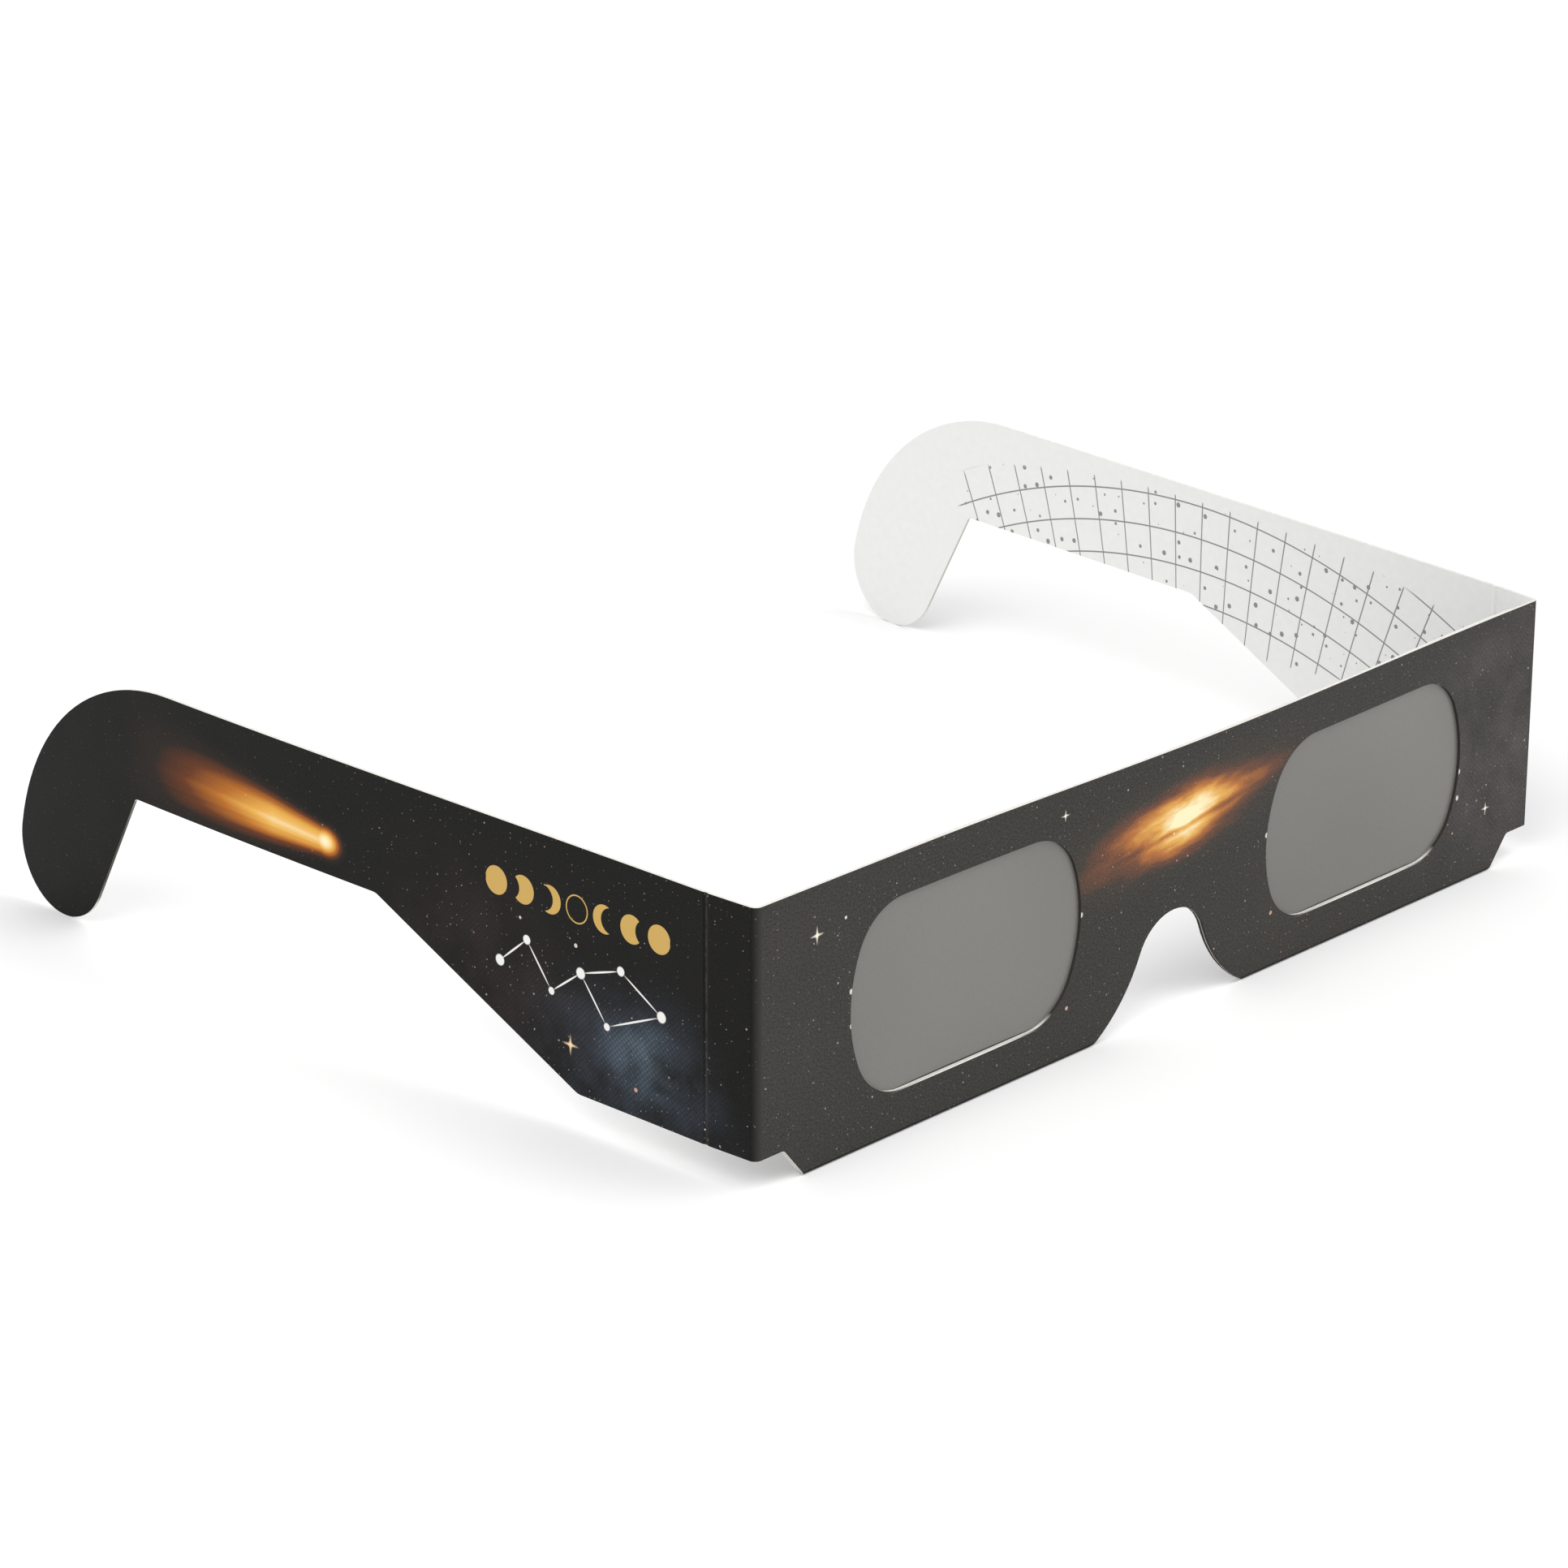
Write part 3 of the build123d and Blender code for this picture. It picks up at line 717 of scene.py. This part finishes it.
def phases(tree, sheet, colour):
    """A gold row of discs, each covered a little further than the last and then uncovered again."""
    axes = add(tree, "ShaderNodeSeparateXYZ", {0: sheet})
    steps = add(tree, "ShaderNodeMath", {0: axes.outputs[0], 1: PHASES_FROM}, operation="SUBTRACT")
    cells = add(tree, "ShaderNodeMath", {0: steps.outputs[0], 1: PHASE_PITCH}, operation="DIVIDE")
    number = add(tree, "ShaderNodeMath", {0: cells.outputs[0]}, operation="FLOOR")
    within = add(tree, "ShaderNodeMath", {0: cells.outputs[0]}, operation="FRACT")
    across = add(tree, "ShaderNodeMath",
                 {0: within.outputs[0], 1: PHASE_PITCH, 2: -PHASE_PITCH / 2},
                 operation="MULTIPLY_ADD")
    up = add(tree, "ShaderNodeMath", {0: axes.outputs[1], 1: PHASE_HEIGHT}, operation="SUBTRACT")
    point = add(tree, "ShaderNodeCombineXYZ", {0: across.outputs[0], 1: up.outputs[0]})
    away = add(tree, "ShaderNodeVectorMath", {0: point.outputs[0]}, operation="LENGTH")
    disc = add(tree, "ShaderNodeMath", {0: away.outputs["Value"], 1: PHASE_RADIUS},
               operation="LESS_THAN")
    shift = add(tree, "ShaderNodeMath",
                {0: number.outputs[0], 1: PHASE_STEP, 2: -PHASE_STEP * (PHASE_COUNT - 1) / 2},
                operation="MULTIPLY_ADD")
    shade_x = add(tree, "ShaderNodeMath", {0: across.outputs[0], 1: shift.outputs[0]},
                  operation="SUBTRACT")
    shade_point = add(tree, "ShaderNodeCombineXYZ", {0: shade_x.outputs[0], 1: up.outputs[0]})
    shade_away = add(tree, "ShaderNodeVectorMath", {0: shade_point.outputs[0]}, operation="LENGTH")
    lit = add(tree, "ShaderNodeMath", {0: shade_away.outputs["Value"], 1: PHASE_COVER},
              operation="GREATER_THAN")
    first = add(tree, "ShaderNodeMath", {0: number.outputs[0], 1: -0.5}, operation="GREATER_THAN")
    last = add(tree, "ShaderNodeMath", {0: number.outputs[0], 1: PHASE_COUNT - 0.5},
               operation="LESS_THAN")
    share = disc
    for limit in (lit, first, last):
        share = add(tree, "ShaderNodeMath", {0: share.outputs[0], 1: limit.outputs[0]},
                    operation="MULTIPLY")
    return add(tree, "ShaderNodeMix", {0: share.outputs[0], 6: colour, 7: linear(GOLD)},
               data_type="RGBA").outputs[2]


def star_figure(tree, sheet, colour):
    """An invented constellation in white: stars joined by lines that taper to their ends."""
    total = 0.0
    for a, b in FIGURE_LINES:
        start = Vector(STAR_FIGURE[a])
        run = Vector(STAR_FIGURE[b]) - start
        reach = (run.length / 2, FIGURE_LINE_HALF_WIDTH)
        share = spot(tree, sheet, start + run / 2, reach, math.atan2(run.y, run.x), 0.6)
        total = add(tree, "ShaderNodeMath", {0: total, 1: share}, operation="MAXIMUM").outputs[0]
    for i, place in enumerate(STAR_FIGURE):
        radius = FIGURE_STAR_RADII[i % len(FIGURE_STAR_RADII)]
        share = spot(tree, sheet, place, (radius, radius), 0.0, 0.75)
        total = add(tree, "ShaderNodeMath", {0: total, 1: share}, operation="MAXIMUM").outputs[0]
    return add(tree, "ShaderNodeMix", {0: total, 6: colour, 7: linear(WHITE_INK)},
               data_type="RGBA").outputs[2]


def comet(tree, sheet, colour):
    """A golden comet on the neck, its tail widening and fading towards the hook."""
    place = add(tree, "ShaderNodeMapping",
                {"Vector": sheet, "Location": (*COMET_HEAD, 0), "Rotation": (0, 0, COMET_TURN),
                 "Scale": (COMET_LENGTH, 1, 1)}, vector_type="TEXTURE")
    axes = add(tree, "ShaderNodeSeparateXYZ", {0: place.outputs[0]})
    width = add(tree, "ShaderNodeMath", {0: axes.outputs[0], 1: COMET_SPREAD, 2: COMET_NECK},
                operation="MULTIPLY_ADD")
    across = add(tree, "ShaderNodeMath", {0: axes.outputs[1], 1: width.outputs[0]},
                 operation="DIVIDE")
    off = add(tree, "ShaderNodeMath", {0: across.outputs[0]}, operation="ABSOLUTE")
    core = add(tree, "ShaderNodeMapRange", {"Value": off.outputs[0], "To Min": 1.0, "To Max": 0.0},
               interpolation_type="SMOOTHSTEP")
    streak_place = add(tree, "ShaderNodeCombineXYZ", {0: across.outputs[0], 1: 0.0})
    streaks = add(tree, "ShaderNodeTexNoise",
                  {"Vector": streak_place.outputs[0], "Scale": 3.5, "Detail": 3.0},
                  noise_dimensions="2D")
    fade = add(tree, "ShaderNodeMapRange",
               {"Value": axes.outputs[0], "From Min": 0.25, "From Max": 1.0, "To Min": 0.92,
                "To Max": 0.0})
    front = add(tree, "ShaderNodeMapRange",
                {"Value": axes.outputs[0], "From Min": -0.03, "From Max": 0.0})
    soft = add(tree, "ShaderNodeMapRange",
               {"Value": streaks.outputs[0], "From Min": 0.25, "From Max": 0.6, "To Min": 0.78,
                "To Max": 1.0})
    tail = core
    for part in (fade, front, soft):
        tail = add(tree, "ShaderNodeMath", {0: tail.outputs[0], 1: part.outputs[0]},
                   operation="MULTIPLY")
    head = spot(tree, sheet, COMET_HEAD, COMET_HEAD_REACH, COMET_TURN)
    heat = add(tree, "ShaderNodeMath", {0: tail.outputs[0], 1: head}, operation="MAXIMUM")
    return fire(tree, colour, heat.outputs[0])


def star_chart(tree, sheet):
    """The white inside with a fine grey star chart: arcs, bearings and a scatter of points."""
    white = white_side(tree, sheet)
    place = add(tree, "ShaderNodeMapping", {"Vector": sheet, "Location": (*CHART_POLE, 0)},
                vector_type="TEXTURE")
    away = add(tree, "ShaderNodeVectorMath", {0: place.outputs[0]}, operation="LENGTH")
    rings = add(tree, "ShaderNodeMath", {0: away.outputs["Value"], 1: CHART_ARC_SPACING / 2},
                operation="PINGPONG")
    ring = add(tree, "ShaderNodeMath", {0: rings.outputs[0], 1: CHART_ARC_WIDTH / 2},
               operation="LESS_THAN")
    axes = add(tree, "ShaderNodeSeparateXYZ", {0: place.outputs[0]})
    bearing = add(tree, "ShaderNodeMath", {0: axes.outputs[0], 1: axes.outputs[1]},
                  operation="ARCTAN2")
    spokes = add(tree, "ShaderNodeMath", {0: bearing.outputs[0], 1: CHART_BEARING_STEP / 2},
                 operation="PINGPONG")
    spoke = add(tree, "ShaderNodeMath", {0: spokes.outputs[0], 1: CHART_BEARING_WIDTH / 2},
                operation="LESS_THAN")
    dot, _ = scattered(tree, sheet, *CHART_POINTS)
    lines = add(tree, "ShaderNodeMath", {0: ring.outputs[0], 1: spoke.outputs[0]},
                operation="MAXIMUM")
    drawn = add(tree, "ShaderNodeMath", {0: lines.outputs[0], 1: dot}, operation="MAXIMUM")
    block = spot(tree, sheet, *CHART_BLOCK, 0.0, 0.96)
    share = add(tree, "ShaderNodeMath", {0: drawn.outputs[0], 1: block}, operation="MULTIPLY")
    return add(tree, "ShaderNodeMix", {0: share.outputs[0], 6: white, 7: linear(CHART_GREY)},
               data_type="RGBA").outputs[2]


for side, sign in (("left", 1), ("right", -1)):
    strip_turn = math.pi / 2 - corner_bend[side]
    _, strip_start = corner_ends(side, sign)
    score = [value * MM for value in SCORE_PIVOT[side]]
    printed_strip, tree = empty_material("printed_board_strip_" + side)
    sheet, facing = flat_sheet(tree, strip_turn, strip_start, crease_length[side], sign)
    ink = night_sky(tree, sheet, HAZE_AT_ROOT)
    # Along the score line the ink is lighter: partly ink cracked by the score, partly a painted
    # highlight on the groove's crown.
    crack_and_highlight_noise = add(tree, "ShaderNodeTexNoise",
                 {"Vector": sheet, "Scale": 1 / SCORE_CRACK_AND_HIGHLIGHT_SIZE, "Detail": 4.0, "Roughness": 0.7})
    cracked_and_highlit = add(tree, "ShaderNodeMapRange",
                  {"Value": crack_and_highlight_noise.outputs[0], "From Min": 0.35, "From Max": 0.65, "To Min": 0.1,
                   "To Max": 0.6})
    score_place = crease_length[side] + SCORE_DISTANCE
    line = spot(tree, sheet, (score_place, SCORE_HEIGHT), SCORE_REACH, 0.0, 0.2)
    share = add(tree, "ShaderNodeMath", {0: cracked_and_highlit.outputs[0], 1: line}, operation="MULTIPLY")
    ink = add(tree, "ShaderNodeMix", {0: share.outputs[0], 6: ink, 7: linear(CRACKED_INK_AND_HIGHLIGHT)},
              data_type="RGBA").outputs[2]
    finish_board(tree, sheet, facing, ink)
    for name in (side + "_hinge_strip", side + "_width_score"):
        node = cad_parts[name]
        cover(node, printed_strip)
    printed_temple, tree = empty_material("printed_board_temple_" + side)
    sheet, facing = flat_sheet(tree, SPLAY[side], score, score_place, sign)
    along = add(tree, "ShaderNodeSeparateXYZ", {0: sheet})
    thinned = add(tree, "ShaderNodeMapRange",
                  {"Value": along.outputs[0], "From Min": STARS_THIN[0], "From Max": STARS_THIN[1],
                   "To Min": 1.0, "To Max": FAINT_STARS})
    ink = night_sky(tree, sheet, HAZE_AT_ROOT, plenty=thinned.outputs[0])
    ink = comet(tree, sheet, ink)
    ink = phases(tree, sheet, ink)
    ink = star_figure(tree, sheet, ink)
    ink = sparkle(tree, sheet, ink, *TEMPLE_SPARKLE)
    finish_board(tree, sheet, facing, ink, star_chart(tree, sheet), TEMPLE_EDGE[side])
    temple = waved_temple(side, sign, SPLAY[side], Vector((*score, 0)))
    cover(temple, printed_temple)
    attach(temple, side + "_arm")
    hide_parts(side + "_temple")

# Floor
# A plain white sweep. To the camera and in reflections it adds its own light up to white, more of
# it further out where the soft boxes fall off, so only the object's soft shadow shows on it.
FLOOR_SIZE = 8.0
FLOOR_WHITE = "#EDEDED"
# The floor's own light at two distances from the middle, in metres.
OWN_LIGHT_FROM = (0.2, 0.09)
OWN_LIGHT_TO = (0.6, 0.4)


def seen(tree):
    """1 where the camera looks, also in a reflection or through something clear, and 0 for light
    that falls on the object."""
    ray = add(tree, "ShaderNodeLightPath")
    share = add(tree, "ShaderNodeMath",
                {0: ray.outputs["Is Camera Ray"], 1: ray.outputs["Is Glossy Ray"]},
                operation="MAXIMUM")
    return add(tree, "ShaderNodeMath", {0: share.outputs[0], 1: ray.outputs["Is Transmission Ray"]},
               operation="MAXIMUM").outputs[0]


bpy.ops.object.select_all(action="DESELECT")
bpy.ops.mesh.primitive_plane_add(size=FLOOR_SIZE, location=(0, 0, 0))
floor = bpy.context.object
floor.name = "floor"
white_sweep, tree = empty_material("white_sweep")
where = add(tree, "ShaderNodeTexCoord")
away = add(tree, "ShaderNodeVectorMath", {0: where.outputs["Object"]}, operation="LENGTH")
rise = add(tree, "ShaderNodeMapRange",
           {"Value": away.outputs["Value"], "From Min": OWN_LIGHT_FROM[0],
            "From Max": OWN_LIGHT_TO[0], "To Min": OWN_LIGHT_FROM[1], "To Max": OWN_LIGHT_TO[1]})
level = add(tree, "ShaderNodeMath", {0: seen(tree), 1: rise.outputs[0]}, operation="MULTIPLY")
own_light = add(tree, "ShaderNodeEmission", {"Color": (1, 1, 1, 1), "Strength": level.outputs[0]})
lit = add(tree, "ShaderNodeBsdfDiffuse", {"Color": linear(FLOOR_WHITE)})
both = add(tree, "ShaderNodeAddShader", {0: own_light.outputs[0], 1: lit.outputs[0]})
add(tree, "ShaderNodeOutputMaterial", {0: both.outputs[0]})
floor.data.materials.append(white_sweep)

# Light
# Soft light from all round, and two broad soft boxes high up: one before the front, which lights
# it, and one off the right temple, which lights the white inside of the left.
LIGHT_LEVEL = 0.75
SEEN_LEVEL = 1.0
LAMP_TARGET = Vector((0, 0.05, 0.01))
world = bpy.data.worlds.new("studio")
bpy.context.scene.world = world
world.use_nodes = True
tree = world.node_tree
tree.nodes.clear()
level = add(tree, "ShaderNodeMapRange",
            {"Value": seen(tree), "To Min": LIGHT_LEVEL, "To Max": SEEN_LEVEL})
glow = add(tree, "ShaderNodeBackground", {"Color": (1, 1, 1, 1), "Strength": level.outputs[0]})
add(tree, "ShaderNodeOutputWorld", {0: glow.outputs[0]})


def soft_box(name, place, size, power):
    """A square area lamp of this size in metres and power in watts, turned to the glasses."""
    lamp = bpy.data.objects.new(name, bpy.data.lights.new(name, "AREA"))
    lamp.data.size = size
    lamp.data.energy = power
    lamp.location = place
    lamp.rotation_euler = (LAMP_TARGET - Vector(place)).to_track_quat("-Z", "Y").to_euler()
    bpy.context.scene.collection.objects.link(lamp)


soft_box("key_soft_box", (0.25, -0.65, 1.4), 1.0, 8.5)
soft_box("fill_soft_box", (-0.9, -0.2, 1.1), 0.9, 6.5)

# Camera
# A long lens above and to the near side, turned so that the near temple and the front both show.
# Its place and turn come from the photograph's straight edges.
CAMERA_PLACE = Vector((-0.479607, -0.384301, 0.259534))
CAMERA_AZIMUTH = math.radians(-47.123)
CAMERA_ELEVATION = math.radians(20.675)
CAMERA_ROLL = math.radians(0.224)
LENS = 131.59
CLIP_START = 0.01
back = Vector((math.sin(CAMERA_AZIMUTH) * math.cos(CAMERA_ELEVATION),
               -math.cos(CAMERA_AZIMUTH) * math.cos(CAMERA_ELEVATION), math.sin(CAMERA_ELEVATION)))
level_right = Vector((0, 0, 1)).cross(back).normalized()
level_up = back.cross(level_right)
right = level_right * math.cos(CAMERA_ROLL) + level_up * math.sin(CAMERA_ROLL)
up = level_up * math.cos(CAMERA_ROLL) - level_right * math.sin(CAMERA_ROLL)
camera = bpy.data.objects.new("camera", bpy.data.cameras.new("camera"))
bpy.context.scene.collection.objects.link(camera)
camera.matrix_world = Matrix.LocRotScale(CAMERA_PLACE, Matrix((right, up, back)).transposed(), None)
camera.data.lens = LENS
camera.data.clip_start = CLIP_START
bpy.context.scene.camera = camera
bpy.context.scene.view_settings.view_transform = "Standard"
